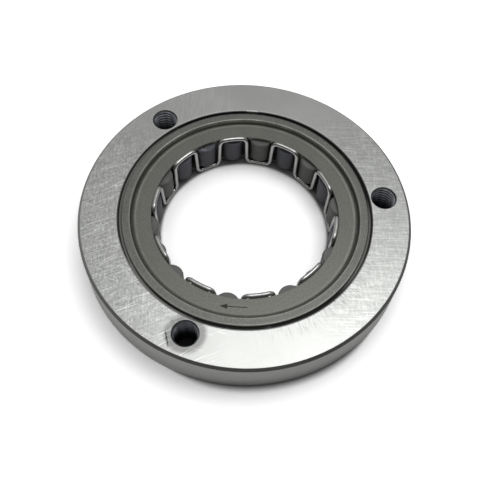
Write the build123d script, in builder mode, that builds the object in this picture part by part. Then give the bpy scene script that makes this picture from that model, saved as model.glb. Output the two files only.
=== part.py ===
from build123d import *
import os
from math import atan, cos, degrees, hypot, radians, sin, sqrt

# One-way roller clutch of an engine starter. Millimetres. The origin is the centre of the bottom
# face, +Z is the clutch's axis and points to the face with the arrow, and +X is on the hub's radius.
# Angles are counted anticlockwise from +X, seen from above.

# ---------------------------------------------------------------- driving dimensions
# The clutch is built up outward from the hub that it turns: rollers, cam race, snap ring, outer ring.
# rollers
spring_lobes = 10
roller_count = 2 * spring_lobes
roller_radius = 3.7
hub_radius = 26.15
first_roller_angle = 11.0

# cam race
land_offset = 0.75
plate_seat_width = 0.95
rim_width = 2.6
rim_edge_chamfer = 0.3

# cam ramps
cam_arc_radius = 8.0
strut_angle = 7.0
release_angle = 1.2

# side plates
plate_cover = 1.4
plate_thickness = 1.05
plate_recess = 1.1
plate_bevel_width = 1.1
plate_bevel_height = 0.7

# snap ring and its groove in the outer ring's bore
snap_ring_width = 1.5
snap_ring_thickness = 1.0
snap_ring_depth = 0.5
groove_depth = 0.6
snap_ring_gap_angle = 5.0
snap_ring_gap_centre = 89.5

# outer ring
ring_height = 13.0
ring_top_chamfer = 0.8
ring_bottom_chamfer = 0.5
lip_width = 1.7
lip_height = 1.3
bolt_count = 3
bolt_start_angle = 10.3
tap_drill_radius = 3.4
tap_chamfer = 0.8
wall_inside_holes = 0.4
wall_outside_holes = 3.1

# meander spring
spring_wire_radius = 0.6
wire_sides = 8
spring_corner_setback = 1.5
spring_corner_drop = 2.6
spring_inward_lean = 0.5
spring_end_margin = 0.05
leg_lean_angle = 0.45

# fits and clearances
race_fit = 0.02
snap_ring_clearance = 0.05
plate_fit = 0.05
spring_seat_clearance = 0.1
roller_end_clearance = 0.1
roller_cam_clearance = 0.05
roller_side_clearance = 0.15

# ---------------------------------------------------------------- worked-out sizes
# radii, from the hub outward
roller_pitch_radius = hub_radius + roller_radius
roller_pitch_angle = 360 / roller_count
plate_bore_radius = roller_pitch_radius - plate_cover
land_radius = roller_pitch_radius + land_offset
counterbore_radius = roller_pitch_radius + roller_radius + plate_seat_width
rim_radius = counterbore_radius + rim_width
snap_ring_inner_radius = rim_radius + snap_ring_clearance
groove_radius = snap_ring_inner_radius + snap_ring_width + snap_ring_clearance
ring_bore_radius = groove_radius - groove_depth
lip_radius = ring_bore_radius - lip_width
tap_mouth_radius = tap_drill_radius + tap_chamfer
bolt_circle_radius = ring_bore_radius + wall_inside_holes + tap_mouth_radius
ring_outer_radius = bolt_circle_radius + tap_mouth_radius + wall_outside_holes

# heights
plate_top_underside = ring_height - plate_recess - plate_thickness
plate_bottom_top = plate_recess + plate_thickness
roller_bottom = plate_bottom_top + roller_end_clearance
roller_length = plate_top_underside - plate_bottom_top - 2 * roller_end_clearance
snap_ring_bottom = ring_height - snap_ring_depth - snap_ring_thickness
race_shoulder_height = snap_ring_bottom - snap_ring_clearance

# pieces that fit into others
race_radius = ring_bore_radius - race_fit
spring_radius = plate_bore_radius - spring_seat_clearance - spring_wire_radius
spring_top = ring_height - spring_end_margin - spring_wire_radius
spring_bottom = spring_end_margin + spring_wire_radius


# ---------------------------------------------------------------- outer ring
with BuildPart() as outer_ring:
    with BuildSketch(Plane.XZ):
        with BuildLine():
            Polyline(
                (lip_radius, 0),
                (ring_outer_radius - ring_bottom_chamfer, 0),
                (ring_outer_radius, ring_bottom_chamfer),
                (ring_outer_radius, ring_height - ring_top_chamfer),
                (ring_outer_radius - ring_top_chamfer, ring_height),
                (ring_bore_radius, ring_height),
                (ring_bore_radius, lip_height),
                (lip_radius, lip_height),
                close=True,
            )
        make_face()
        groove_height = snap_ring_thickness + 2 * snap_ring_clearance
        with Locations((ring_bore_radius, snap_ring_bottom + snap_ring_thickness / 2)):
            Rectangle(2 * groove_depth, groove_height, mode=Mode.SUBTRACT)
    revolve(axis=Axis.Z)
    with BuildSketch():
        with PolarLocations(bolt_circle_radius, bolt_count, start_angle=bolt_start_angle):
            Circle(tap_drill_radius)
    extrude(amount=ring_height, mode=Mode.SUBTRACT)
    top_edges = outer_ring.faces().sort_by(Axis.Z)[-1].edges()
    chamfer(top_edges.sort_by(SortBy.RADIUS)[:bolt_count], tap_chamfer)

outer_ring.part.label = "outer_ring"


# ---------------------------------------------------------------- cam race
# One pocket, drawn about the roller's centre: +X is outward and +Y is anticlockwise. The ramp is an
# arc whose centre is set off along the strut line, so the pocket narrows on the clockwise side.
strut_length = cam_arc_radius - roller_radius - roller_cam_clearance
release_travel = roller_pitch_radius * radians(release_angle)
pocket_narrow_side = -(roller_radius + roller_side_clearance)
pocket_wide_side = roller_radius + release_travel + roller_side_clearance
pocket_inner_reach = roller_pitch_radius - plate_bore_radius

with BuildSketch() as cam_pocket:
    with PolarLocations(strut_length, 1, start_angle=180 - strut_angle):
        Circle(cam_arc_radius)
    with Locations((-pocket_inner_reach, pocket_narrow_side)):
        Rectangle(
            pocket_inner_reach + 2 * roller_radius,
            pocket_wide_side - pocket_narrow_side,
            align=(Align.MIN, Align.MIN),
            mode=Mode.INTERSECT,
        )

with BuildPart() as cam_race:
    with BuildSketch(Plane.XZ):
        with BuildLine():
            Polyline(
                (land_radius, plate_bottom_top),
                (counterbore_radius, plate_bottom_top),
                (counterbore_radius, lip_height),
                (race_radius, lip_height),
                (race_radius, race_shoulder_height),
                (rim_radius, race_shoulder_height),
                (rim_radius, ring_height - rim_edge_chamfer),
                (rim_radius - rim_edge_chamfer, ring_height),
                (counterbore_radius, ring_height),
                (counterbore_radius, plate_top_underside),
                (land_radius, plate_top_underside),
                close=True,
            )
        make_face()
    revolve(axis=Axis.Z)
    with BuildSketch(Plane.XY.offset(plate_bottom_top)):
        with PolarLocations(roller_pitch_radius, roller_count, start_angle=first_roller_angle):
            add(cam_pocket.sketch)
    extrude(amount=plate_top_underside - plate_bottom_top, mode=Mode.SUBTRACT)

cam_race.part.label = "cam_race"


# ---------------------------------------------------------------- side plates
# A flat washer that lies in the race's counterbore and keeps the rollers in. Its outer edge is
# bevelled on the visible side.
with BuildPart() as cover_plate_top:
    with BuildSketch(Plane.XZ):
        plate_outer_radius = counterbore_radius - plate_fit
        plate_face = plate_top_underside + plate_thickness
        with BuildLine():
            Polyline(
                (plate_bore_radius, plate_top_underside),
                (plate_outer_radius, plate_top_underside),
                (plate_outer_radius, plate_face - plate_bevel_height),
                (plate_outer_radius - plate_bevel_width, plate_face),
                (plate_bore_radius, plate_face),
                close=True,
            )
        make_face()
    revolve(axis=Axis.Z)

cover_plate_top.part.label = "cover_plate_top"

with BuildPart() as cover_plate_bottom:
    add(mirror(cover_plate_top.part, about=Plane.XY.offset(ring_height / 2)))

cover_plate_bottom.part.label = "cover_plate_bottom"


# ---------------------------------------------------------------- snap ring
with BuildPart() as snap_ring:
    with BuildSketch(Plane.XZ):
        with Locations((snap_ring_inner_radius, snap_ring_bottom)):
            Rectangle(snap_ring_width, snap_ring_thickness, align=(Align.MIN, Align.MIN))
    revolve(axis=Axis.Z, revolution_arc=360 - snap_ring_gap_angle)

snap_ring_turn = snap_ring_gap_centre + snap_ring_gap_angle / 2
snap_ring_part = snap_ring.part.rotate(Axis.Z, snap_ring_turn)
snap_ring_part.label = "snap_ring"


# ---------------------------------------------------------------- meander spring
# A wire that zigzags round the inside of the plates, over the ends of one roller and under the ends
# of the next; its legs lean in a little, so the bottom crossings show below the rollers. A quarter of
# the zigzag, from the middle of a top crossing down one leg to the middle of a bottom crossing, is
# swept once, then mirrored and repeated round the axis. The many turns are kept light: the round
# wire has flats, and each crossing and each corner is two chords.
def on_spring(angle, height, radius=spring_radius):
    return Vector(radius * cos(radians(angle)), radius * sin(radians(angle)), height)


def corner_middle(before, corner, after):
    return corner + (before + after - 2 * corner) * (1 - sqrt(0.5))


bottom_radius = spring_radius - spring_inward_lean
half_lobe = roller_pitch_angle / 2 - leg_lean_angle
crossing_end = half_lobe - degrees(atan(spring_corner_setback / spring_radius))
leg_top = on_spring(half_lobe, spring_top, hypot(spring_radius, spring_corner_setback))
leg_foot_radius = hypot(bottom_radius, spring_corner_setback)
leg_bottom = on_spring(roller_pitch_angle - half_lobe, spring_bottom, leg_foot_radius)
leg_direction = (leg_bottom - leg_top).normalized()
leg_start = leg_top + leg_direction * spring_corner_drop
leg_end = leg_bottom - leg_direction * spring_corner_drop
top_crossing_end = on_spring(crossing_end, spring_top)
bottom_crossing_start = on_spring(roller_pitch_angle - crossing_end, spring_bottom, bottom_radius)

with BuildPart() as zigzag_quarter:
    with BuildLine() as wire_path:
        Polyline(
            on_spring(0, spring_top),
            top_crossing_end,
            corner_middle(top_crossing_end, leg_top, leg_start),
            leg_start,
            leg_end,
            corner_middle(leg_end, leg_bottom, bottom_crossing_start),
            bottom_crossing_start,
            on_spring(roller_pitch_angle, spring_bottom, bottom_radius),
        )
    with BuildSketch(wire_path.line ^ 0):
        RegularPolygon(spring_wire_radius, wire_sides, major_radius=False, rotation=180 / wire_sides)
    sweep(transition=Transition.RIGHT)
    mirror(about=Plane.XZ)

with BuildPart() as meander_spring:
    first_top_crossing = first_roller_angle + roller_pitch_angle
    with PolarLocations(0, spring_lobes, start_angle=first_top_crossing):
        add(zigzag_quarter.part)

meander_spring.part.label = "meander_spring"


# ---------------------------------------------------------------- rollers
def make_roller(angle):
    seat = Plane(origin=on_spring(angle, roller_bottom, roller_pitch_radius))
    with BuildPart() as roller:
        with BuildSketch(seat):
            Circle(roller_radius)
        extrude(amount=roller_length)
    return roller.part


# ---------------------------------------------------------------- files
os.makedirs("parts", exist_ok=True)
export_step(outer_ring.part, "parts/outer_ring.step")
export_step(cam_race.part, "parts/cam_race.step")
export_step(cover_plate_top.part, "parts/cover_plate_top.step")
export_step(cover_plate_bottom.part, "parts/cover_plate_bottom.step")
export_step(snap_ring_part, "parts/snap_ring.step")
export_step(meander_spring.part, "parts/meander_spring.step")

for number in range(roller_count):
    roller_part = make_roller(first_roller_angle + number * roller_pitch_angle)
    roller_part.label = f"roller_{number + 1:02d}"
    export_step(roller_part, f"parts/{roller_part.label}.step")
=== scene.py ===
import math

import bmesh
import bpy
from mathutils import Matrix, Vector


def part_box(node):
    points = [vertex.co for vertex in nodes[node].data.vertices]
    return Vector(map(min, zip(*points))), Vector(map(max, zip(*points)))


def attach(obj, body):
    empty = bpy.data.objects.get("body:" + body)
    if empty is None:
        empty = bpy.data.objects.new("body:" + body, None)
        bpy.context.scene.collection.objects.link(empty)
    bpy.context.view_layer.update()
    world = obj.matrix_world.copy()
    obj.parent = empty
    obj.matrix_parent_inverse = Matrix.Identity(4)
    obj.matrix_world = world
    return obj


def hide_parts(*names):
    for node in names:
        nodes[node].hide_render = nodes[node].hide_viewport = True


# Looks of a one-way roller clutch: a bolt-on steel ring with a dark cam race, side plates, rollers
# and a zigzag wire spring. Sizes are in millimetres here and go to metres through mm.
mm = 0.001

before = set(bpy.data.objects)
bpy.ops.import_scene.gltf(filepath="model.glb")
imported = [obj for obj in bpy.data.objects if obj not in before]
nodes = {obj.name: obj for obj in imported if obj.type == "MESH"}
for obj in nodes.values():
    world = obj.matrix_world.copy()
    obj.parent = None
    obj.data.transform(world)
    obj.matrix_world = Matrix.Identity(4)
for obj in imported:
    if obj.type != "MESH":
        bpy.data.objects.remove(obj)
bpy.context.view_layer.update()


def reach(node):
    # how far a round piece goes from the clutch's axis, in millimetres
    low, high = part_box(node)
    return max(-low.x, high.x, -low.y, high.y) / mm


def heights(node):
    low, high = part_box(node)
    return low.z / mm, high.z / mm


raceFit = 0.02  # the play that the press fit is drawn with
ringRadius = reach("outer_ring")
ringHeight = heights("outer_ring")[1]
raceRadius = reach("cam_race")
plateRadius = reach("cover_plate_top")
snapRadius = reach("snap_ring")
ringBore = raceRadius + raceFit
rollerNames = sorted(name for name in nodes if name.startswith("roller_"))
print("frame loaded:", len(nodes), "nodes, ring", round(2 * ringRadius, 2), "mm across")


# shader maths: a Wire is one output socket that adds and multiplies like a number
class Wire:
    def __init__(self, finish, socket):
        self.finish = finish
        self.socket = socket

    def maths(self, operation, *others):
        values = dict(enumerate((self,) + others))
        return self.finish.node("ShaderNodeMath", {"operation": operation}, values).out()

    def __add__(self, other):
        return self.maths("ADD", other)

    def __sub__(self, other):
        return self.maths("SUBTRACT", other)

    def __mul__(self, other):
        return self.maths("MULTIPLY", other)

    def __truediv__(self, other):
        return self.maths("DIVIDE", other)

    def __pow__(self, other):
        return self.maths("POWER", other)

    def __rsub__(self, other):
        return self.finish.number(other).maths("SUBTRACT", self)

    def __rtruediv__(self, other):
        return self.finish.number(other).maths("DIVIDE", self)

    __radd__ = __add__
    __rmul__ = __mul__

    def between(self, low, high):
        # 0 at low, 1 at high, smooth between them and level outside
        settings = {"interpolation_type": "SMOOTHSTEP"}
        values = {"Value": self, "From Min": low, "From Max": high, "To Min": 0, "To Max": 1}
        return self.finish.node("ShaderNodeMapRange", settings, values).out("Result")


class NodeKit:
    def __init__(self, node, finish):
        self.node = node
        self.finish = finish

    def out(self, name=0):
        return Wire(self.finish, self.node.outputs[name])


class Finish:
    # one material, or the world, whose nodes are all made through node()
    def __init__(self, name, owner=None):
        self.owner = owner or bpy.data.materials.new(name)
        self.owner.use_nodes = True
        self.tree = self.owner.node_tree
        self.tree.nodes.clear()
        self.spot = None

    def node(self, kind, settings=None, values=None):
        made = self.tree.nodes.new(kind)
        for key, value in (settings or {}).items():
            setattr(made, key, value)
        for key, value in (values or {}).items():
            if isinstance(value, Wire):
                self.tree.links.new(value.socket, made.inputs[key])
            else:
                made.inputs[key].default_value = value
        return NodeKit(made, self)

    def number(self, value):
        made = self.node("ShaderNodeValue")
        made.node.outputs[0].default_value = value
        return made.out()

    def place(self):
        # where the point is on the piece at rest, in metres
        if self.spot is None:
            self.spot = self.node("ShaderNodeTexCoord").out("Object")
        return self.spot

    def parts(self, vector):
        split = self.node("ShaderNodeSeparateXYZ", {}, {"Vector": vector})
        return split.out("X"), split.out("Y"), split.out("Z")

    def vector(self, x, y, z):
        return self.node("ShaderNodeCombineXYZ", {}, {"X": x, "Y": y, "Z": z}).out()

    def turned(self, vector, degrees):
        values = {"Vector": vector, "Angle": math.radians(degrees), "Axis": (0, 0, 1)}
        return self.node("ShaderNodeVectorRotate", {"rotation_type": "AXIS_ANGLE"}, values).out()

    def stretched(self, vector, scale):
        values = {0: vector, 1: scale}
        return self.node("ShaderNodeVectorMath", {"operation": "MULTIPLY"}, values).out()

    def noise(self, vector, scale, detail=2, roughness=0.5, distortion=0):
        values = {"Vector": vector, "Scale": scale, "Detail": detail, "Roughness": roughness}
        values["Distortion"] = distortion
        return self.node("ShaderNodeTexNoise", {}, values).out("Fac")

    def mix(self, share, first, second, blend="MIX"):
        # colours: first where share is 0, second where it is 1
        settings = {"data_type": "RGBA", "blend_type": blend}
        return self.node("ShaderNodeMix", settings, {0: share, 6: first, 7: second}).out(2)

    def shade(self, level, colour):
        # a grey level from a Wire, tinted by one fixed colour
        grey = self.node("ShaderNodeCombineColor", {}, {0: level, 1: level, 2: level}).out()
        return self.mix(1.0, grey, colour + (1,), "MULTIPLY")

    def bump(self, height, distance, strength=1.0):
        values = {"Height": height, "Distance": distance, "Strength": strength}
        return self.node("ShaderNodeBump", {}, values).out()

    def surface(self, **values):
        named = {key.replace("_", " "): value for key, value in values.items()}
        shader = self.node("ShaderNodeBsdfPrincipled", {}, named).out()
        self.node("ShaderNodeOutputMaterial", {}, {"Surface": shader})
        return self.owner


# scratches: long thin lines in one direction, each with its own start and end
def scratches(finish, angle, lineWidth, lineLength, rarity, spread=0.06):
    along, across = 1 / (lineLength * mm), 1 / (lineWidth * mm)
    lined = finish.stretched(finish.turned(finish.place(), -angle), (along, across, across))
    return finish.noise(lined, 1.0, 1, 0.4).between(rarity, rarity + spread)


def bandOf(value, low, high, soft):
    # 1 between low and high, with soft shoulders
    return value.between(low - soft, low + soft) * (1 - value.between(high - soft, high + soft))


# steel of the outer ring, ground on its flat faces and turned on its wall
groundSteel = {
    "colour": (0.985, 1.0, 0.97),
    "topLevel": 0.56,
    "wallLevel": 0.47,
    # painted shade and light across the wall: darker on the right, lighter on the left
    "wallSideShading": 0.08,
    "chamferDarkening": 0.22,
    # painted shade in the slot between the bore and the race
    "slotShadeLevel": 0.05,
    "patchiness": 0.10,
    "grindShown": 0.42,
    "leftLines": 0.26,
    "rightLines": 0.32,
    "crossLines": 0.20,
    "scoresShown": 0.24,
    "strokesShown": 0.24,
    "strokesFrom": 39.2,
    "strokesTo": 43.5,
    "haloFrom": 4.9,
    "haloTo": 6.6,
    "gougeShown": 0.3,
    "topRoughness": 0.33,
    "wallRoughness": 0.46,
    "leftGrind": 27,
    "rightGrind": 2,
    "crossGrind": 95,
    "grindDepth": 0.010,
    "halo": 0.19,
    "gouge": ((-19.9, -39.8), (-18.7, -44.2)),
}


def makeGroundSteel(ring):
    finish = Finish("groundSteel")
    x, y, z = finish.parts(finish.place())
    radius = (x * x + y * y) ** 0.5
    topFace = z.between((ringHeight - 0.15) * mm, (ringHeight - 0.05) * mm)
    topFace = topFace * (1 - radius.between((ringRadius - 1.0) * mm, (ringRadius - 0.7) * mm))
    angle = y.maths("ARCTAN2", x)
    patches = finish.noise(finish.place(), 60, 3, 0.6)
    grain = finish.noise(finish.place(), 1800, 3, 0.7)
    # the grinder's marks show on the two sides and fade at the front and the back
    left = 1 - x.between(-12 * mm, 6 * mm)
    share = x * x / (radius * radius)
    sides = left * share.between(0.02, 0.40) * (1 - y.between(14 * mm, 34 * mm) * 0.7)
    sides = sides + (1 - left) * share.between(0.12, 0.62)
    mottle = finish.noise(finish.place(), 1350, 4, 0.75, 0.5) - 0.5
    leftLines = scratches(finish, ring["leftGrind"], 0.34, 5, 0.46, 0.2) - 0.4
    rightLines = scratches(finish, ring["rightGrind"], 0.30, 6, 0.46, 0.2) - 0.4
    crossLines = scratches(finish, ring["crossGrind"], 0.32, 3, 0.50, 0.2) - 0.3
    ground = mottle * (1.1 + left * 1.1) + leftLines * left * ring["leftLines"]
    ground = ground + rightLines * (1 - left) * ring["rightLines"]
    ground = ground + crossLines * (ring["crossLines"] + left * 0.10)
    scores = scratches(finish, 24, 0.36, 26, 0.645) + scratches(finish, 36, 0.36, 17, 0.655)
    scores = scores + scratches(finish, -14, 0.36, 12, 0.675)
    scores = scores * (1 - y.between(4 * mm, 26 * mm))
    wisps = scratches(finish, 86, 0.45, 7, 0.50, 0.16) * bandOf(angle, 1.72, 2.12, 0.12)
    # dark strokes that run outward from the bore on the right, near the front
    strokes = finish.noise(finish.vector(angle * 78, radius * 150, 0.0), 1.0, 3, 0.8).between(0.49, 0.64)
    strokes = strokes * bandOf(angle, -1.35, -0.35, 0.25)
    strokes = strokes * (1 - radius.between(ring["strokesFrom"] * mm, ring["strokesTo"] * mm))
    # a dull halo and one deep gouge at the hole on the front left
    fromCorner = fromHole(finish, (2,))
    halo = 1 - fromCorner.between(ring["haloFrom"] * mm, ring["haloTo"] * mm)
    start, end = (Vector(point) for point in ring["gouge"])
    heading = end - start
    away = finish.vector(x - start.x * mm, y - start.y * mm, 0.0)
    along, across, _ = finish.parts(finish.turned(away, -math.degrees(math.atan2(heading.y, heading.x))))
    gouge = bandOf(along, 0, heading.length * mm, 0.5 * mm)
    gouge = gouge * (1 - across.maths("ABSOLUTE").between(0.05 * mm, 0.38 * mm))
    # the wall and the chamfers carry the lathe's fine rings
    rings = finish.noise(finish.vector(radius * 3, radius * 3, z * 1.0), 4200, 2, 0.6)
    # painted shade: the bore is painted dark where it forms the slot beside the race's rim, less at its top
    # edge at the front and behind the ring's gap
    edgeTop = 1 - radius.between((ringBore + 0.30) * mm, (ringBore + 0.42) * mm)
    belowEdge = 1 - z.between((ringHeight - 0.26) * mm, (ringHeight - 0.20) * mm)
    unshadedFront = (-1 * y / radius).between(0.25, 0.55)
    bore = edgeTop * (belowEdge + (1 - belowEdge) * (1 - unshadedFront) * 0.9)
    bore = bore * (1 - bandOf(angle, math.radians(86.8), math.radians(92.2), 0.01) * 0.45)
    # the chamfer at the top of the wall is given a darker colour than the wall
    chamfer = z.between((ringHeight - 0.9) * mm, (ringHeight - 0.75) * mm) * (1 - topFace)
    chamfer = chamfer * radius.between((ringRadius - 1.1) * mm, (ringRadius - 0.9) * mm)

    # painted shade and light: the wall is painted darker on its right, the lamp's side, and lighter on its left
    wall = ring["wallLevel"] - x / radius * ring["wallSideShading"] - chamfer * ring["chamferDarkening"]
    level = wall + topFace * (ring["topLevel"] - wall)
    level = level + (patches - 0.5) * ring["patchiness"] + (grain - 0.5) * 0.05
    level = level + topFace * sides * ground * ring["grindShown"]
    marks = scores * left * ring["scoresShown"] + wisps * 0.07 - strokes * ring["strokesShown"]
    level = level + topFace * marks
    level = level - topFace * halo * ring["halo"] - topFace * gouge * ring["gougeShown"]
    # painted shade in the bore's slot
    level = level + bore * (ring["slotShadeLevel"] - level)
    level = level.maths("MAXIMUM", 0.02)
    rough = ring["wallRoughness"] + topFace * (ring["topRoughness"] - ring["wallRoughness"])
    rough = rough + (patches - 0.5) * 0.12 + (grain - 0.5) * 0.10 + topFace * halo * 0.12
    relief = topFace * (ground * sides + scores * 0.4 + grain * 0.3 - gouge) + (1 - topFace) * rings * 0.6
    return finish.surface(
        Base_Color=finish.shade(level, ring["colour"]),
        Metallic=1.0,
        Roughness=rough,
        Normal=finish.bump(relief, ring["grindDepth"] * mm, 0.7),
    )


# phosphated steel of the race and the plates: dark, slightly olive, with painted highlights on some edges,
# patchy like wear
darkCoat = {
    "raceColour": (1.0, 1.01, 0.93),
    "plateColour": (1.0, 1.0, 0.9),
    "level": 0.19,
    "metallic": 0.5,
    "roughness": 0.40,
    # painted highlights on edges, patchy like wear: (from radius, to radius, y where the highlight starts, y
    # where it is full, strength)
    "rimHighlights": [(34.45, 34.95, 6, 30, 0.28), (34.45, 34.95, 40, 0, 0.10), (36.6, 36.95, 4, -24, 0.10)],
    "plateHighlights": [(32.7, 34.4, -40, 16, 0.13)],
}


def makeDarkCoat(name, coat, colour, highlightEdges):
    finish = Finish(name)
    x, y, z = finish.parts(finish.place())
    radius = (x * x + y * y) ** 0.5
    cloud = finish.noise(finish.place(), 90, 4, 0.65)
    grain = finish.noise(finish.place(), 2100, 3, 0.75)
    turning = finish.noise(finish.vector(radius, 0.0, z), 5200, 1, 0.5)
    # painted highlights along the edges, on the side where they catch the light, broken into patches like wear
    patchy = finish.noise(finish.place(), 160, 2, 0.6).between(0.3, 0.7) * 0.5 + 0.5
    litPatches = finish.number(0.0)
    for highlightFrom, highlightTo, highlightStartY, highlightFullY, strength in highlightEdges:
        edge = bandOf(radius, highlightFrom * mm, highlightTo * mm, 0.1 * mm)
        if highlightStartY > highlightFullY:
            edge = edge * (1 - y.between(highlightFullY * mm, highlightStartY * mm))
        else:
            edge = edge * y.between(highlightStartY * mm, highlightFullY * mm)
        litPatches = litPatches + edge * patchy * strength
    litPatches = litPatches * z.between((ringHeight - 1.5) * mm, (ringHeight - 1.2) * mm)
    level = coat["level"] + (cloud - 0.5) * 0.07 + (grain - 0.5) * 0.26 + (turning - 0.5) * 0.08
    level = (level + litPatches).maths("MAXIMUM", 0.01)
    rough = coat["roughness"] + (cloud - 0.5) * 0.16 - litPatches * 0.8
    return finish.surface(
        Base_Color=finish.shade(level, colour),
        Metallic=coat["metallic"],
        Roughness=rough,
        Normal=finish.bump(grain * 0.7 + turning * 0.5, 0.010 * mm, 0.6),
    )


# spring steel of the snap ring, painted near-black as the shade of the slot it sits in
snapRingBlack = {
    "level": 0.006,
    "wornLevel": 0.03,
    "litLevel": 0.16,
    "metallic": 0.9,
    "roughness": 0.42,
    "innerLit": (37.6, 37.95),
    "outerLit": (37.55, 37.75),
}


def makeBlackSteel(coat):
    finish = Finish("blackSteel")
    x, y, _ = finish.parts(finish.place())
    radius = (x * x + y * y) ** 0.5
    grain = finish.noise(finish.place(), 1500, 3, 0.6)
    wear = finish.noise(finish.place(), 220, 3, 0.6).between(0.60, 0.72)
    # painted shade: the ring is lighter only on its inner edge on the left and a little on the right, where it
    # shows in light
    innerFrom, innerTo = coat["innerLit"]
    litPatches = (-1 * x / radius).between(0.55, 0.95)
    litPatches = litPatches + (0.97 * x / radius - 0.26 * y / radius).between(0.88, 0.99) * 0.8
    litPatches = litPatches * (1 - radius.between(innerFrom * mm, innerTo * mm))
    # and on its outer part at the front left
    frontLeft = (-0.64 * x / radius - 0.77 * y / radius).between(0.91, 0.985)
    outerFrom, outerTo = coat["outerLit"]
    litPatches = litPatches + frontLeft * radius.between(outerFrom * mm, outerTo * mm)
    # painted shade: near-black, lifted to grey on the lit parts
    level = coat["level"] + grain * 0.006 + wear * coat["wornLevel"] + litPatches * coat["litLevel"]
    return finish.surface(
        Base_Color=finish.shade(level, (1.0, 1.0, 0.96)),
        Metallic=coat["metallic"] - litPatches * 0.4,
        Roughness=coat["roughness"] + (grain - 0.5) * 0.2,
        Normal=finish.bump(grain, 0.01 * mm, 0.5),
    )


# bright drawn wire of the spring, with fine lines along it
drawnWire = {
    "colour": (1.0, 0.99, 0.97),
    "level": 0.60,
    "roughness": 0.24,
}


def makeSpringWire(wire):
    finish = Finish("springWire")
    cloud = finish.noise(finish.place(), 260, 3, 0.6)
    drawn = finish.noise(finish.stretched(finish.place(), (1, 1, 0.15)), 3800, 2, 0.6)
    level = wire["level"] + (cloud - 0.5) * 0.25 + (drawn - 0.5) * 0.16
    return finish.surface(
        Base_Color=finish.shade(level, wire["colour"]),
        Metallic=1.0,
        Roughness=wire["roughness"] + (cloud - 0.5) * 0.12,
        Normal=finish.bump(drawn, 0.006 * mm, 0.5),
    )


# hardened rollers, dark from heat and oil, ground round their length
hardSteel = {
    "olive": (0.125, (1.0, 1.0, 0.95)),
    # painted shade: a darker, bluish copy for the rollers under the spring's top crossings
    "shadedUnderWire": (0.100, (0.94, 0.96, 1.12)),
    "metallic": 0.35,
    "roughness": 0.42,
    # painted highlight on the rollers' top chamfer
    "paintedEdgeHighlight": 0.10,
    # lighter and darker spots on one roller's end: (x, y, size, change of level)
    "endSpots": [
        (-14.6, 23.0, 1.5, 0.11),
        (-15.6, 23.5, 0.42, -0.16),
        (-14.45, 24.0, 0.45, -0.16),
        (-14.9, 23.6, 0.3, -0.08),
    ],
}


def makeRollerSteel(name, steel, kind):
    tone, colour = steel[kind]
    finish = Finish(name)
    x, y, z = finish.parts(finish.place())
    high = heights(rollerNames[0])[1]
    ends = z.between((high - 0.02) * mm, (high - 0.005) * mm)
    # painted highlight on the chamfer at the roller's top end
    paintedEdgeHighlight = bandOf(z, (high - 0.34) * mm, (high - 0.06) * mm, 0.04 * mm)
    ground = finish.noise(finish.stretched(finish.place(), (0.6, 0.6, 14)), 500, 2, 0.6)
    cloud = finish.noise(finish.place(), 190, 3, 0.6)
    level = tone + (cloud - 0.5) * 0.06 + (ground - 0.5) * 0.06 + ends * 0.03 + paintedEdgeHighlight * steel["paintedEdgeHighlight"]
    for spotX, spotY, size, change in steel["endSpots"]:
        flat = finish.vector(x - spotX * mm, y - spotY * mm, 0.0)
        away = finish.node("ShaderNodeVectorMath", {"operation": "LENGTH"}, {0: flat}).out("Value")
        level = level + ends * (1 - away.between(size * 0.5 * mm, size * mm)) * change
    level = level.maths("MAXIMUM", 0.01)
    return finish.surface(
        Base_Color=finish.shade(level, colour),
        Metallic=steel["metallic"],
        Roughness=steel["roughness"] + (cloud - 0.5) * 0.16 + ends * 0.06,
        Normal=finish.bump(ground, 0.006 * mm, 0.5),
    )


threadedHole = {
    "count": 3,
    "circle": 42.7,
    "firstAngle": 10.3,
    "minor": 3.4,
    "major": 3.95,
    "pitch": 1.25,
    "mouth": 3.97,
    "rowsPerPitch": 10,
    "columns": 56,
}


def holeCentre(number):
    turn = math.radians(threadedHole["firstAngle"] + 360 / threadedHole["count"] * number)
    return Vector((math.cos(turn), math.sin(turn), 0)) * threadedHole["circle"]


def fromHole(finish, numbers=(0, 1, 2)):
    # distance from the axis of the nearest of these holes
    flat = finish.stretched(finish.place(), (1, 1, 0))
    nearest = None
    for number in numbers:
        values = {0: flat, 1: holeCentre(number) * mm}
        away = finish.node("ShaderNodeVectorMath", {"operation": "DISTANCE"}, values).out("Value")
        nearest = away if nearest is None else nearest.maths("MINIMUM", away)
    return nearest


# the threads: the ring's steel, painted near-black as shade inside the hole, with painted highlights on the
# crests near the top and a darker countersink cone
def makeShadedThread(hole):
    finish = Finish("shadedThread")
    _, _, z = finish.parts(finish.place())
    cloud = finish.noise(finish.place(), 400, 3, 0.6)
    crestHighlight = 1 - fromHole(finish).between((hole["minor"] + 0.06) * mm, (hole["major"] - 0.15) * mm)
    litNearTop = z.between((ringHeight - 9) * mm, (ringHeight - 1) * mm)
    cone = z.between((ringHeight - 0.6) * mm, (ringHeight - 0.5) * mm)
    # painted shade and highlights: near-black base, crests lit towards the top, dark grey cone
    level = 0.015 + cloud * 0.03 + crestHighlight * litNearTop * 0.7 * (1 - cone) + cone * 0.10
    return finish.surface(
        Base_Color=finish.shade(level, (0.92, 0.97, 1.06)),
        Metallic=0.9,
        Roughness=0.34 + (cloud - 0.5) * 0.2 + cone * 0.24,
        Normal=finish.bump(cloud, 0.02 * mm, 0.5),
    )


# the arrow's floor, etched dark into the coat
def makeEtch():
    finish = Finish("etchedMark")
    grain = finish.noise(finish.place(), 2500, 3, 0.7)
    return finish.surface(
        Base_Color=finish.shade(0.016 + grain * 0.04, (1.0, 0.98, 0.85)),
        Metallic=0.2,
        Roughness=0.6 + (grain - 0.5) * 0.2,
        Normal=finish.bump(grain, 0.01 * mm, 0.6),
    )


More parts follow.
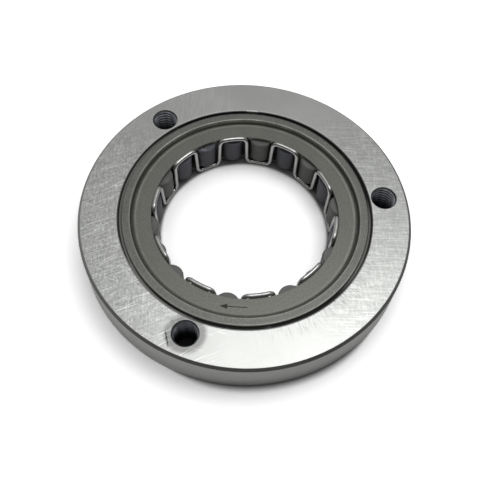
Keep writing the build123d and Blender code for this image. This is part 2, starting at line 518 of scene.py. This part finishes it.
steelOfRing = makeGroundSteel(groundSteel)
coatOfRace = makeDarkCoat("darkRace", darkCoat, darkCoat["raceColour"], darkCoat["rimHighlights"])
coatOfPlate = makeDarkCoat("darkPlate", darkCoat, darkCoat["plateColour"], darkCoat["plateHighlights"])
blackSteel = makeBlackSteel(snapRingBlack)
springWire = makeSpringWire(drawnWire)
rollerOlive = makeRollerSteel("rollerSteelOlive", hardSteel, "olive")
rollerShadedUnderWire = makeRollerSteel("rollerSteelShadedUnderWire", hardSteel, "shadedUnderWire")
shadedThread = makeShadedThread(threadedHole)
etchedMark = makeEtch()
print("finishes mixed")


# mesh helpers
def softened(corners, chords=3):
    # a closed outline of (radius, height, rounding) corners, each soft one as a few chords
    outline = []
    for place, (radius, height, rounding) in enumerate(corners):
        corner = Vector((radius, height))
        if not rounding:
            outline.append(corner)
            continue
        before = Vector(corners[place - 1][:2]) - corner
        after = Vector(corners[(place + 1) % len(corners)][:2]) - corner
        start = corner + before.normalized() * rounding
        end = corner + after.normalized() * rounding
        for share in [number / chords for number in range(chords + 1)]:
            outline.append(start.lerp(corner, share).lerp(corner.lerp(end, share), share))
    return outline


def evenShading(piece):
    # large faces keep their own normal, so a flat face stays flat next to its rounded edge
    even = piece.modifiers.new("evenShading", "WEIGHTED_NORMAL")
    even.keep_sharp = True
    even.weight = 100


def linked(name, data):
    made = bpy.data.objects.new(name, data)
    bpy.context.scene.collection.objects.link(made)
    return made


def meshFrom(shape, name):
    mesh = bpy.data.meshes.new(name)
    shape.to_mesh(mesh)
    shape.free()
    return mesh


def placed(name, mesh, material, body, node=None, sharpAngle=28):
    if material:
        mesh.materials.append(material)
    mesh.shade_smooth()
    mesh.set_sharp_from_angle(angle=math.radians(sharpAngle))
    piece = linked(name, mesh)
    evenShading(piece)
    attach(piece, body)
    if node:
        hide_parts(node)
    return piece


def spun(name, outlineAt, angles, centre=(0, 0), closed=True):
    # a mesh that is spun round an axis along Z; its outline may change with the angle
    shape = bmesh.new()
    rows = []
    for angle in angles:
        turn = math.radians(angle)
        row = []
        for radius, height in outlineAt(angle):
            place = (centre[0] + radius * math.cos(turn), centre[1] + radius * math.sin(turn), height)
            row.append(shape.verts.new(Vector(place) * mm))
        rows.append(row)
    count = len(rows[0])
    pairs = list(zip(rows, rows[1:] + rows[:1])) if closed else list(zip(rows, rows[1:]))
    for row, nextRow in pairs:
        for number in range(count):
            following = (number + 1) % count
            shape.faces.new((row[number], nextRow[number], nextRow[following], row[following]))
    if not closed:
        shape.faces.new(list(reversed(rows[0])))
        shape.faces.new(rows[-1])
    bmesh.ops.recalc_face_normals(shape, faces=shape.faces)
    return meshFrom(shape, name)


def steps(start, end, count):
    return [start + (end - start) * number / count for number in range(count)]


# outer ring
outerRing = {
    "bore": 38.1,
    "lipBore": 36.4,
    "lipHeight": 1.3,
    "topChamfer": 0.8,
    "bottomChamfer": 0.5,
    "edgeWidth": 0.40,
    "edgeDrop": 0.15,
    "grooveRadius": 38.7,
    "grooveLow": 11.45,
    "grooveHigh": 12.55,
    "segments": 288,
}


def threadRadius(hole, turn, height):
    # internal thread: the minor radius with a helical groove, opened by the countersink at the top
    phase = (height / hole["pitch"] - turn / math.tau) % 1
    flank = abs(2 * phase - 1)
    depth = min(1, max(0, (flank - 0.2) / 0.62))
    radius = hole["minor"] + (hole["major"] - hole["minor"]) * depth
    return max(radius, hole["mouth"] - (ringHeight - height))


def makeThreadTool(hole, centre):
    # a solid screw that cuts one hole
    shape = bmesh.new()
    margin = 0.4
    rowCount = round((ringHeight + 2 * margin) / hole["pitch"] * hole["rowsPerPitch"])
    rows = []
    for number in range(rowCount + 1):
        height = -margin + (ringHeight + 2 * margin) * number / rowCount
        row = []
        for column in range(hole["columns"]):
            turn = math.tau * column / hole["columns"]
            radius = threadRadius(hole, turn, height)
            spot = centre + Vector((radius * math.cos(turn), radius * math.sin(turn), height))
            row.append(shape.verts.new(spot * mm))
        rows.append(row)
    for row, nextRow in zip(rows, rows[1:]):
        for column in range(hole["columns"]):
            following = (column + 1) % hole["columns"]
            shape.faces.new((row[column], row[following], nextRow[following], nextRow[column]))
    shape.faces.new(list(reversed(rows[0])))
    shape.faces.new(rows[-1])
    mesh = meshFrom(shape, "threadTool")
    mesh.materials.append(steelOfRing)
    mesh.materials.append(shadedThread)
    for polygon in mesh.polygons:
        polygon.material_index = 1
    return linked("threadTool", mesh)


def makeOuterRing(ring, hole):
    corners = [
        (ring["lipBore"], 0, 0.1),
        (ringRadius - ring["bottomChamfer"], 0, 0.1),
        (ringRadius, ring["bottomChamfer"], 0.1),
        (ringRadius, ringHeight - ring["topChamfer"], 0.06),
        (ringRadius - ring["topChamfer"], ringHeight, 0.06),
        (ring["bore"] + ring["edgeWidth"], ringHeight, 0.05),
        (ring["bore"], ringHeight - ring["edgeDrop"], 0.04),
        (ring["bore"], ring["grooveHigh"], 0),
        (ring["grooveRadius"], ring["grooveHigh"], 0),
        (ring["grooveRadius"], ring["grooveLow"], 0),
        (ring["bore"], ring["grooveLow"], 0),
        (ring["bore"], ring["lipHeight"], 0),
        (ring["lipBore"], ring["lipHeight"], 0.1),
    ]
    outline = softened(corners)
    mesh = spun("outerRing", lambda angle: outline, steps(0, 360, ring["segments"]))
    mesh.materials.append(steelOfRing)
    mesh.materials.append(shadedThread)
    blank = linked("ringBlank", mesh)
    tools = []
    for number in range(hole["count"]):
        tool = makeThreadTool(hole, holeCentre(number))
        cut = blank.modifiers.new("tap", "BOOLEAN")
        cut.operation = "DIFFERENCE"
        cut.solver = "EXACT"
        cut.object = tool
        tools.append(tool)
    depsgraph = bpy.context.evaluated_depsgraph_get()
    cutMesh = bpy.data.meshes.new_from_object(blank.evaluated_get(depsgraph))
    cutMesh.name = "outerRingMesh"
    for spare in [blank] + tools:
        bpy.data.objects.remove(spare)
    return placed("outerRing", cutMesh, None, "housing", "outer_ring")


makeOuterRing(outerRing, threadedHole)
print("outer ring turned and tapped")


# cam race: a ring whose bore has one ramped pocket for each roller
camRace = {
    "land": 30.6,
    "counterbore": 34.5,
    "bottom": 1.3,
    "shoulder": 11.4,
    "rim": 37.12,
    "rimEdge": 0.24,
    "rimDrop": 0.14,
    "rimInnerRounding": 0.30,
    "ramp": 8.0,
    "strutAngle": 7.0,
    "rampClearance": 0.05,
    "sideClearance": 0.15,
    "releaseTravel": 0.625,
    "landSteps": 3,
    "rampSteps": 10,
}


def rollerCentres():
    places = []
    for name in rollerNames:
        low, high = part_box(name)
        centre = (low + high) / 2 / mm
        places.append((name, math.degrees(math.atan2(centre.y, centre.x)) % 360, centre))
    return sorted(places, key=lambda place: place[1])


rollerRadius = (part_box(rollerNames[0])[1].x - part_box(rollerNames[0])[0].x) / 2 / mm
pitchRadius = math.hypot(*rollerCentres()[0][2].xy)


def pocketContour(race):
    # (angle, radius) points of one pocket's wall, counted from the roller's own angle
    strut = race["ramp"] - rollerRadius - race["rampClearance"]
    lean = math.radians(180 - race["strutAngle"])
    rampCentre = Vector((pitchRadius + strut * math.cos(lean), strut * math.sin(lean)))
    narrow = -(rollerRadius + race["sideClearance"])
    wide = rollerRadius + race["releaseTravel"] + race["sideClearance"]

    def onLand(side):
        return Vector((math.sqrt(race["land"] ** 2 - side ** 2), side))

    def onRamp(side):
        return Vector((rampCentre.x + math.sqrt(race["ramp"] ** 2 - (side - rampCentre.y) ** 2), side))

    ramp = []
    for number in range(1, race["rampSteps"]):
        ramp.append(onRamp(narrow + (wide - narrow) * number / race["rampSteps"]))
    line = [onLand(narrow), onRamp(narrow)] + ramp + [onRamp(wide), onLand(wide)]
    return [(math.degrees(math.atan2(spot.y, spot.x)), spot.length) for spot in line]


def makeCamRace(race):
    pocket = pocketContour(race)
    boreAt = {}
    centres = [place[1] for place in rollerCentres()]
    spacing = 360 / len(centres)
    for angle in centres:
        for turn, radius in pocket:
            boreAt[angle + turn] = radius
        landStart = angle + pocket[-1][0]
        landEnd = angle + spacing + pocket[0][0]
        for turn in steps(landStart, landEnd, race["landSteps"])[1:]:
            boreAt[turn] = race["land"]
    plateLow = heights("cover_plate_top")[0]
    bottomPlateHigh = heights("cover_plate_bottom")[1]

    def outlineAt(angle):
        bore = boreAt[angle]
        return softened([
            (bore, bottomPlateHigh, 0),
            (race["counterbore"], bottomPlateHigh, 0),
            (race["counterbore"], race["bottom"], 0.06),
            (raceRadius, race["bottom"], 0.06),
            (raceRadius, race["shoulder"], 0),
            (race["rim"], race["shoulder"], 0),
            (race["rim"], ringHeight - race["rimDrop"], 0.05),
            (race["rim"] - race["rimEdge"], ringHeight, 0.1),
            (race["counterbore"], ringHeight, race["rimInnerRounding"]),
            (race["counterbore"], plateLow, 0),
            (bore, plateLow, 0),
        ])

    mesh = spun("camRaceMesh", outlineAt, sorted(boreAt))
    return placed("camRace", mesh, coatOfRace, "housing", "cam_race")


makeCamRace(camRace)
print("cam race broached:", len(rollerNames), "pockets")


# side plates: bevelled washers, the top one and its mirror image below
sidePlate = {
    "bore": 28.34,
    "bevelWidth": 1.1,
    "bevelHeight": 0.62,
    "edgeRounding": 0.2,
    "segments": 288,
}


def makeSidePlate(name, node, plate):
    low, high = heights(node)
    faceUp = low > ringHeight / 2
    face, back = (high, low) if faceUp else (low, high)
    inward = -1 if faceUp else 1
    outline = softened([
        (plate["bore"], back, 0.05),
        (plateRadius, back, 0.05),
        (plateRadius, face + inward * plate["bevelHeight"], 0.05),
        (plateRadius - plate["bevelWidth"], face, plate["edgeRounding"]),
        (plate["bore"], face, 0.15),
    ])
    mesh = spun(name + "Mesh", lambda angle: outline, steps(0, 360, plate["segments"]))
    return placed(name, mesh, coatOfPlate, "housing", node, 20)


makeSidePlate("topPlate", "cover_plate_top", sidePlate)
makeSidePlate("bottomPlate", "cover_plate_bottom", sidePlate)
print("side plates laid in")


# snap ring, open at the back
snapRing = {
    "width": 1.5,
    "innerPlay": 0.06,
    "gap": 5.0,
    "gapCentre": 89.5,
    "segments": 240,
}


def makeSnapRing(ring):
    low, high = heights("snap_ring")
    inner = snapRadius - ring["width"] + ring["innerPlay"]
    outline = softened([
        (inner, low, 0.12),
        (snapRadius, low, 0.12),
        (snapRadius, high, 0.12),
        (inner, high, 0.12),
    ])
    start = ring["gapCentre"] + ring["gap"] / 2
    angles = steps(start, start + 360 - ring["gap"], ring["segments"]) + [start + 360 - ring["gap"]]
    mesh = spun("snapRingMesh", lambda angle: outline, angles, closed=False)
    return placed("snapRing", mesh, blackSteel, "housing", "snap_ring")


makeSnapRing(snapRing)
print("snap ring sprung in")


# rollers
roller = {
    "chamfer": 0.35,
    "rounding": 0.08,
    "segments": 64,
    "pole": 0.001,
    "spottedAngle": 121,
    "spottedReach": 9,
}


def makeRoller(name, centre, shape, finish):
    low, high = heights(name)
    chamfer = shape["chamfer"]
    outline = softened([
        (shape["pole"], low, 0),
        (rollerRadius - chamfer, low, shape["rounding"]),
        (rollerRadius, low + chamfer, shape["rounding"]),
        (rollerRadius, high - chamfer, shape["rounding"]),
        (rollerRadius - chamfer, high, shape["rounding"]),
        (shape["pole"], high, 0),
    ])
    mesh = spun(name + "Mesh", lambda angle: outline, steps(0, 360, shape["segments"]), centre.xy)
    return placed("steel_" + name, mesh, finish, name, name, 40)


# painted shade: every other roller, the ones that lie under the spring's top crossings, gets the darker, bluish
# copy, and so does the spotted one
for number, (rollerName, rollerAngle, rollerCentre) in enumerate(rollerCentres()):
    shadedUnderWire = number % 2 == 1 or abs(rollerAngle - roller["spottedAngle"]) < roller["spottedReach"]
    makeRoller(rollerName, rollerCentre, roller, rollerShadedUnderWire if shadedUnderWire else rollerOlive)
print("rollers ground:", len(rollerNames))


# meander spring: a round wire that runs over one roller's end and under the next one's
meander = {
    "wire": 0.7,
    "radius": 27.6,
    "topDrop": 0.15,
    "cornerSetback": 1.5,
    "cornerDrop": 2.2,
    "inwardLean": 0.45,
    "topLean": 0.0,
    "bottomLean": 0.8,
    "lobes": 10,
    "crossingSteps": 8,
    "cornerSteps": 7,
}


def wireCorner(before, corner, after, count):
    # a round corner: from before, where it leaves one run, to after, where it joins the next
    spots = []
    for number in range(count + 1):
        turn = math.pi / 2 * number / count
        fromBefore = (before - corner) * (1 - math.sin(turn))
        fromAfter = (after - corner) * (1 - math.cos(turn))
        spots.append(corner + fromBefore + fromAfter)
    return spots


def meanderPath(spring):
    bottom, top = heights("meander_spring")
    top -= spring["wire"] + spring["topDrop"]
    bottom += spring["wire"]
    half = 180 / (2 * spring["lobes"])
    setbackAngle = math.degrees(math.atan(spring["cornerSetback"] / spring["radius"]))

    def onSpring(angle, level):
        # level is (height, radius, half angle) of a crossing
        turn = math.radians(angle)
        radius = level[1]
        return Vector((radius * math.cos(turn), radius * math.sin(turn), level[0]))

    bottomLevel = (bottom, spring["radius"] - spring["inwardLean"], half - spring["bottomLean"])
    topLevel = (top, spring["radius"], half - spring["topLean"])

    # the first bottom crossing lies under the first roller
    firstCrossing = rollerCentres()[0][1]
    path = []
    for number in range(2 * spring["lobes"]):
        middle = firstCrossing + 2 * half * number
        level, nextLevel = (bottomLevel, topLevel) if number % 2 == 0 else (topLevel, bottomLevel)
        crossingEnd = level[2] - setbackAngle
        for turn in steps(-crossingEnd, crossingEnd, spring["crossingSteps"]):
            path.append(onSpring(middle + turn, level))
        legStart = onSpring(middle + level[2], level)
        legEnd = onSpring(middle + 2 * half - nextLevel[2], nextLevel)
        along = (legEnd - legStart).normalized() * spring["cornerDrop"]
        crossing = onSpring(middle + crossingEnd, level)
        nextCrossing = onSpring(middle + 2 * half - nextLevel[2] + setbackAngle, nextLevel)
        path += wireCorner(crossing, legStart, legStart + along, spring["cornerSteps"])
        path += wireCorner(legEnd - along, legEnd, nextCrossing, spring["cornerSteps"])[:-1]
    return path


def makeMeander(spring):
    line = bpy.data.curves.new("meanderWire", "CURVE")
    line.dimensions = "3D"
    line.bevel_depth = spring["wire"] * mm
    line.bevel_resolution = 5
    path = meanderPath(spring)
    run = line.splines.new("POLY")
    run.points.add(len(path) - 1)
    for point, spot in zip(run.points, path):
        point.co = (*(spot * mm), 1)
    run.use_cyclic_u = True
    draft = linked("meanderDraft", line)
    depsgraph = bpy.context.evaluated_depsgraph_get()
    mesh = bpy.data.meshes.new_from_object(draft.evaluated_get(depsgraph))
    mesh.name = "meanderSpringMesh"
    bpy.data.objects.remove(draft)
    mesh.materials.clear()
    return placed("meanderSpring", mesh, springWire, "spring_cage", "meander_spring", 60)


makeMeander(meander)
print("meander spring bent")


# arrow that shows the locking direction, etched into the top plate
arrow = {
    "tailRadius": 31.05,
    "tipRadius": 31.45,
    "tailAngle": -86.0,
    "tipAngle": -100.5,
    "shaftWidth": 0.25,
    "headLength": 2.3,
    "headWidth": 1.6,
    "depth": 0.02,
}


def makeArrow(mark):
    face = heights("cover_plate_top")[1]

    def onPlate(radius, angle):
        turn = math.radians(angle)
        return Vector((radius * math.cos(turn), radius * math.sin(turn)))

    tail = onPlate(mark["tailRadius"], mark["tailAngle"])
    tip = onPlate(mark["tipRadius"], mark["tipAngle"])
    along = (tip - tail).normalized()
    across = Vector((-along.y, along.x))
    neck = tip - along * mark["headLength"]
    shaft, barb = across * mark["shaftWidth"] / 2, across * mark["headWidth"] / 2
    outline = [tail + shaft, tail - shaft, neck - shaft, neck - barb, tip, neck + barb, neck + shaft]
    shape = bmesh.new()
    floor = [shape.verts.new(Vector((*spot, face)) * mm) for spot in outline]
    lid = [shape.verts.new(Vector((*spot, face + mark["depth"])) * mm) for spot in outline]
    shape.faces.new(floor)
    shape.faces.new(list(reversed(lid)))
    for number in range(len(outline)):
        following = (number + 1) % len(outline)
        shape.faces.new((floor[number], lid[number], lid[following], floor[following]))
    bmesh.ops.recalc_face_normals(shape, faces=shape.faces)
    mesh = meshFrom(shape, "arrowMesh")
    return placed("arrowMark", mesh, etchedMark, "housing")


makeArrow(arrow)
print("arrow etched")


# studio: white floor, soft light from above, dark room behind the camera
studio = {
    "floorSize": 3.0,
    "floorLevel": 0.8,
    "floorShown": 2.25,
    "floorFar": 9.0,
    "farFrom": 120,
    "farTo": 600,
    "floorMirrored": 1.15,
    "contactShade": 0.97,
    "contactEdge": 0.7,
    "contactSkirt": 0.3,
    "frontSkirt": 3.1,
    "underBore": 0.86,
    "underBoreFrom": 25.4,
    "underBoreTo": 26.8,
    "boreShade": 0.10,
    "skyTop": 0.6,
    "skyBack": 0.37,
    "skyFront": 0.06,
    "lampPlace": (0.11, 0.1025, 0.5),
    "lampSize": (0.34, 0.235),
    "lampPower": 0.527,
}


def makeFloor(room):
    mesh = bpy.data.meshes.new("floorMesh")
    half = room["floorSize"] / 2
    corners = [(-half, -half, 0), (half, -half, 0), (half, half, 0), (-half, half, 0)]
    mesh.from_pydata(corners, [], [(0, 1, 2, 3)])
    finish = Finish("paleFloor")
    rays = finish.node("ShaderNodeLightPath")
    x, y, _ = finish.parts(finish.place())
    radius = (x * x + y * y) ** 0.5
    # the lamp reaches less of the far floor, so that is shown lighter
    far = radius.between(room["farFrom"] * mm, room["farTo"] * mm) * (room["floorFar"] - room["floorShown"])
    seen = rays.out("Is Camera Ray") * (far + (room["floorShown"] - room["floorLevel"]))
    mirrored = rays.out("Is Glossy Ray") * (room["floorMirrored"] - room["floorLevel"])
    level = room["floorLevel"] + seen + mirrored
    # painted shadow: the floor is painted darkest right under the part, with a skirt round it that is widest at
    # the front
    facing = (x * 0.26 - y * 0.97) / radius
    skirt = room["contactSkirt"] + room["frontSkirt"] * facing.between(0.72, 1.0)
    inner = radius.between(room["underBoreFrom"] * mm, room["underBoreTo"] * mm)
    outer = ((radius - (ringRadius - room["contactEdge"]) * mm) / (skirt * mm)).between(0.0, 1.0)
    deep = room["underBore"] + radius.between(30 * mm, 38 * mm) * (room["contactShade"] - room["underBore"])
    level = level * (1 - inner * (1 - outer) * deep)
    # and painted shade a little inside the bore, at the back
    inside = radius.between(18.5 * mm, 25 * mm) * (1 - inner) * y.between(-12 * mm, 12 * mm)
    level = level * (1 - inside * room["boreShade"])
    colour = finish.shade(level, (1.0, 1.0, 1.0))
    shader = finish.node("ShaderNodeBsdfDiffuse", {}, {"Color": colour}).out()
    finish.node("ShaderNodeOutputMaterial", {}, {"Surface": shader})
    mesh.materials.append(finish.owner)
    linked("floor", mesh)


def makeSky(room):
    world = bpy.data.worlds.new("studioSky")
    bpy.context.scene.world = world
    sky = Finish("studioSky", world)
    _, y, z = sky.parts(sky.node("ShaderNodeTexCoord").out("Generated"))
    side = room["skyFront"] + y.between(-0.7, 0.5) * (room["skyBack"] - room["skyFront"])
    level = side + z.between(0.6, 0.95) * (room["skyTop"] - side)
    colour = sky.shade(level, (1.0, 1.0, 1.0))
    seen = sky.node("ShaderNodeLightPath").out("Is Camera Ray")
    lit = sky.node("ShaderNodeBackground", {}, {"Color": colour, "Strength": 1.0}).out()
    white = sky.node("ShaderNodeBackground", {}, {"Color": (1, 1, 1, 1), "Strength": 1.0}).out()
    shown = sky.node("ShaderNodeMixShader", {}, {0: seen, 1: lit, 2: white}).out()
    sky.node("ShaderNodeOutputWorld", {}, {"Surface": shown})


def makeLamp(room):
    light = bpy.data.lights.new("overheadSoftbox", "AREA")
    light.shape = "RECTANGLE"
    light.size, light.size_y = room["lampSize"]
    light.energy = room["lampPower"]
    linked("overheadSoftbox", light).location = room["lampPlace"]


makeFloor(studio)
makeSky(studio)
makeLamp(studio)
print("studio lit")


# camera
view = {
    "place": (-0.000125, -0.1099, 0.1930),
    "elevation": 61.218,
    "roll": 3.478,
    "lens": 51.93,
}


def makeCamera(shot):
    data = bpy.data.cameras.new("camera")
    data.lens = shot["lens"]
    data.sensor_width = 36
    data.clip_start = 0.01
    data.clip_end = 10
    camera = linked("camera", data)
    elevation, roll = math.radians(shot["elevation"]), math.radians(shot["roll"])
    forward = Vector((0, math.cos(elevation), -math.sin(elevation)))
    right = Vector((1, 0, 0))
    up = right.cross(forward)
    cameraX = right * math.cos(roll) + up * math.sin(roll)
    cameraY = up * math.cos(roll) - right * math.sin(roll)
    turn = Matrix((cameraX, cameraY, -forward)).transposed().to_4x4()
    camera.matrix_world = Matrix.Translation(shot["place"]) @ turn
    bpy.context.scene.camera = camera


makeCamera(view)
bpy.context.scene.view_settings.view_transform = "Standard"
bpy.context.view_layer.update()
